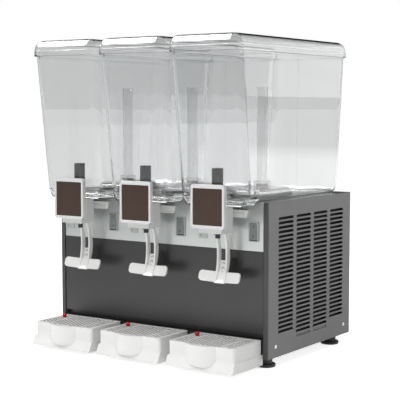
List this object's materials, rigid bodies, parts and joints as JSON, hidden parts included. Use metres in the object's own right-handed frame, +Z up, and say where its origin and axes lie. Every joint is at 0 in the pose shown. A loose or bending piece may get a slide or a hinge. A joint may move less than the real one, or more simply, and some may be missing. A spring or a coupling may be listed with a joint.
{
  "type": "refrigerated juice dispenser",
  "caption": "Refrigerated juice dispenser: clear lift-off bowls with lids, push-lever taps and drip trays on a louvred cooling cabinet.",
  "frame": {"origin": "centre of the bounding box on the surface that the feet stand on", "axes": "+X to the right and +Y to the back as seen from the tap side, +Z up"},
  "size_m": [0.5428, 0.4664, 0.66],
  "materials": {
    "side_paint": "mid grey powder coat, fine texture",
    "front_paint": "dark grey coat, satin",
    "fascia_steel": "stainless steel, satin",
    "deck_steel": "stainless steel, satin",
    "foot_rubber": "black rubber",
    "screw_steel": "zinc-plated steel",
    "compressor_paint": "black enamel",
    "coil_metal": "bare aluminium fins",
    "fan_plastic": "black moulded plastic",
    "blade_plastic": "dark moulded plastic",
    "evaporator_steel": "polished stainless steel",
    "seal_rubber": "grey silicone",
    "riser_plastic": "translucent grey plastic",
    "motor_metal": "die-cast, matt",
    "bezel_plastic": "grey moulded plastic",
    "window_plastic": "pale translucent lens",
    "white_plastic": "white moulded plastic",
    "inlet_plastic": "black moulded plastic",
    "clear_bowl": "clear polycarbonate, polished",
    "clear_lid": "clear polycarbonate, polished",
    "pump_plastic": "white moulded plastic",
    "tap_plastic": "light grey moulded plastic",
    "frame_plastic": "white moulded plastic",
    "black_plastic": "black moulded plastic, satin",
    "spring_steel": "stainless spring wire",
    "lever_plastic": "white moulded plastic",
    "rocker_plastic": "grey translucent rocker",
    "tray_plastic": "white moulded plastic",
    "grille_plastic": "white moulded plastic",
    "red_plastic": "red moulded plastic"
  },
  "bodies": {
    "cabinet": {"base_pan": "front_paint", "side_panel_left": "side_paint", "side_panel_right": "side_paint", "front_panel": "front_paint", "fascia": "fascia_steel", "rear_panel": "side_paint", "top_deck": "deck_steel", "feet": "foot_rubber", "panel_screws": "screw_steel", "compressor": "compressor_paint", "condenser": "coil_metal", "fan_frame": "fan_plastic", "evaporators": "evaporator_steel", "bowl_gaskets": "seal_rubber", "riser_tubes": "riser_plastic", "drive_motors": "motor_metal", "switch_bezels": "bezel_plastic", "indicator_windows": "window_plastic", "bowl_locks": "white_plastic", "power_inlet": "inlet_plastic"},
    "fan_rotor": {"fan_blades": "blade_plastic"},
    "bowl_1": {"bowl_1": "clear_bowl", "tap_housing_1": "tap_plastic", "label_frame_1": "frame_plastic", "tap_spring_1": "spring_steel"},
    "lid_1": {"lid_1": "clear_lid"},
    "impeller_1": {"impeller_1": "pump_plastic"},
    "tap_cap_1": {"tap_cap_1": "black_plastic"},
    "tap_plunger_1": {"tap_plunger_1": "black_plastic"},
    "tap_lever_1": {"tap_lever_1": "lever_plastic"},
    "rocker_1": {"rocker_1": "rocker_plastic"},
    "tray_1": {"drip_tray_1": "tray_plastic"},
    "grille_1": {"tray_grille_1": "grille_plastic"},
    "float_1": {"tray_float_1": "red_plastic"},
    "bowl_2": {"bowl_2": "clear_bowl", "tap_housing_2": "tap_plastic", "label_frame_2": "frame_plastic", "tap_spring_2": "spring_steel"},
    "lid_2": {"lid_2": "clear_lid"},
    "impeller_2": {"impeller_2": "pump_plastic"},
    "tap_cap_2": {"tap_cap_2": "black_plastic"},
    "tap_plunger_2": {"tap_plunger_2": "black_plastic"},
    "tap_lever_2": {"tap_lever_2": "lever_plastic"},
    "rocker_2": {"rocker_2": "rocker_plastic"},
    "tray_2": {"drip_tray_2": "tray_plastic"},
    "grille_2": {"tray_grille_2": "grille_plastic"},
    "float_2": {"tray_float_2": "red_plastic"},
    "bowl_3": {"bowl_3": "clear_bowl", "tap_housing_3": "tap_plastic", "label_frame_3": "frame_plastic", "tap_spring_3": "spring_steel"},
    "lid_3": {"lid_3": "clear_lid"},
    "impeller_3": {"impeller_3": "pump_plastic"},
    "tap_cap_3": {"tap_cap_3": "black_plastic"},
    "tap_plunger_3": {"tap_plunger_3": "black_plastic"},
    "tap_lever_3": {"tap_lever_3": "lever_plastic"},
    "rocker_3": {"rocker_3": "rocker_plastic"},
    "tray_3": {"drip_tray_3": "tray_plastic"},
    "grille_3": {"tray_grille_3": "grille_plastic"},
    "float_3": {"tray_float_3": "red_plastic"}
  },
  "joints": [
    {"name": "fan_spin", "type": "hinge", "parent": "cabinet", "child": "fan_rotor", "pos_m": [0.197, 0.0568, 0.1115], "axis": [1, 0, 0], "continuous": true},
    {"name": "bowl_lift_1", "type": "slide", "parent": "cabinet", "child": "bowl_1", "axis": [0, 0, 1], "range_m": [0, 0.235]},
    {"name": "lid_lift_1", "type": "slide", "parent": "bowl_1", "child": "lid_1", "axis": [0, 0, 1], "range_m": [0, 0.12]},
    {"name": "impeller_spin_1", "type": "hinge", "parent": "cabinet", "child": "impeller_1", "pos_m": [-0.178, 0.0048, 0.353], "axis": [0, 0, 1], "continuous": true},
    {"name": "cap_turn_1", "type": "hinge", "parent": "bowl_1", "child": "tap_cap_1", "pos_m": [-0.178, -0.1592, 0.358], "axis": [0, 0, 1], "range_deg": [0, 90]},
    {"name": "lever_push_1", "type": "hinge", "parent": "bowl_1", "child": "tap_lever_1", "pos_m": [-0.178, -0.1742, 0.296], "axis": [1, 0, 0], "range_deg": [0, 12], "stiffness_Nm_per_rad": 1.2, "springref_deg": -8.59},
    {"name": "plunger_lift_1", "type": "slide", "parent": "bowl_1", "child": "tap_plunger_1", "axis": [0, 0, 1], "range_m": [0, 0.0032], "deforming": ["tap_spring_1"]},
    {"name": "rocker_tilt_1", "type": "hinge", "parent": "cabinet", "child": "rocker_1", "pos_m": [-0.1204, -0.1107, 0.2733], "axis": [1, 0, 0], "range_deg": [0, 12]},
    {"name": "tray_pull_1", "type": "slide", "parent": "cabinet", "child": "tray_1", "axis": [0, -1, 0], "range_m": [0, 0.06]},
    {"name": "grille_lift_1", "type": "slide", "parent": "tray_1", "child": "grille_1", "axis": [0, 0, 1], "range_m": [0, 0.06]},
    {"name": "float_rise_1", "type": "slide", "parent": "grille_1", "child": "float_1", "axis": [0, 0, 1], "range_m": [0, 0.008]},
    {"name": "bowl_lift_2", "type": "slide", "parent": "cabinet", "child": "bowl_2", "axis": [0, 0, 1], "range_m": [0, 0.235]},
    {"name": "lid_lift_2", "type": "slide", "parent": "bowl_2", "child": "lid_2", "axis": [0, 0, 1], "range_m": [0, 0.12]},
    {"name": "impeller_spin_2", "type": "hinge", "parent": "cabinet", "child": "impeller_2", "pos_m": [0, 0.0048, 0.353], "axis": [0, 0, 1], "continuous": true},
    {"name": "cap_turn_2", "type": "hinge", "parent": "bowl_2", "child": "tap_cap_2", "pos_m": [0, -0.1592, 0.358], "axis": [0, 0, 1], "range_deg": [0, 90]},
    {"name": "lever_push_2", "type": "hinge", "parent": "bowl_2", "child": "tap_lever_2", "pos_m": [0, -0.1742, 0.296], "axis": [1, 0, 0], "range_deg": [0, 12], "stiffness_Nm_per_rad": 1.2, "springref_deg": -8.59},
    {"name": "plunger_lift_2", "type": "slide", "parent": "bowl_2", "child": "tap_plunger_2", "axis": [0, 0, 1], "range_m": [0, 0.0032], "deforming": ["tap_spring_2"]},
    {"name": "rocker_tilt_2", "type": "hinge", "parent": "cabinet", "child": "rocker_2", "pos_m": [0.0576, -0.1107, 0.2733], "axis": [1, 0, 0], "range_deg": [0, 12]},
    {"name": "tray_pull_2", "type": "slide", "parent": "cabinet", "child": "tray_2", "axis": [0, -1, 0], "range_m": [0, 0.06]},
    {"name": "grille_lift_2", "type": "slide", "parent": "tray_2", "child": "grille_2", "axis": [0, 0, 1], "range_m": [0, 0.06]},
    {"name": "float_rise_2", "type": "slide", "parent": "grille_2", "child": "float_2", "axis": [0, 0, 1], "range_m": [0, 0.008]},
    {"name": "bowl_lift_3", "type": "slide", "parent": "cabinet", "child": "bowl_3", "axis": [0, 0, 1], "range_m": [0, 0.235]},
    {"name": "lid_lift_3", "type": "slide", "parent": "bowl_3", "child": "lid_3", "axis": [0, 0, 1], "range_m": [0, 0.12]},
    {"name": "impeller_spin_3", "type": "hinge", "parent": "cabinet", "child": "impeller_3", "pos_m": [0.178, 0.0048, 0.353], "axis": [0, 0, 1], "continuous": true},
    {"name": "cap_turn_3", "type": "hinge", "parent": "bowl_3", "child": "tap_cap_3", "pos_m": [0.178, -0.1592, 0.358], "axis": [0, 0, 1], "range_deg": [0, 90]},
    {"name": "lever_push_3", "type": "hinge", "parent": "bowl_3", "child": "tap_lever_3", "pos_m": [0.178, -0.1742, 0.296], "axis": [1, 0, 0], "range_deg": [0, 12], "stiffness_Nm_per_rad": 1.2, "springref_deg": -8.59},
    {"name": "plunger_lift_3", "type": "slide", "parent": "bowl_3", "child": "tap_plunger_3", "axis": [0, 0, 1], "range_m": [0, 0.0032], "deforming": ["tap_spring_3"]},
    {"name": "rocker_tilt_3", "type": "hinge", "parent": "cabinet", "child": "rocker_3", "pos_m": [0.2356, -0.1107, 0.2733], "axis": [1, 0, 0], "range_deg": [0, 12]},
    {"name": "tray_pull_3", "type": "slide", "parent": "cabinet", "child": "tray_3", "axis": [0, -1, 0], "range_m": [0, 0.06]},
    {"name": "grille_lift_3", "type": "slide", "parent": "tray_3", "child": "grille_3", "axis": [0, 0, 1], "range_m": [0, 0.06]},
    {"name": "float_rise_3", "type": "slide", "parent": "grille_3", "child": "float_3", "axis": [0, 0, 1], "range_m": [0, 0.008]}
  ],
  "couplings": [
    {"joint": "plunger_lift_1", "follows": "lever_push_1", "m_per_rad": 0.014801},
    {"joint": "plunger_lift_2", "follows": "lever_push_2", "m_per_rad": 0.014801},
    {"joint": "plunger_lift_3", "follows": "lever_push_3", "m_per_rad": 0.014801}
  ]
}
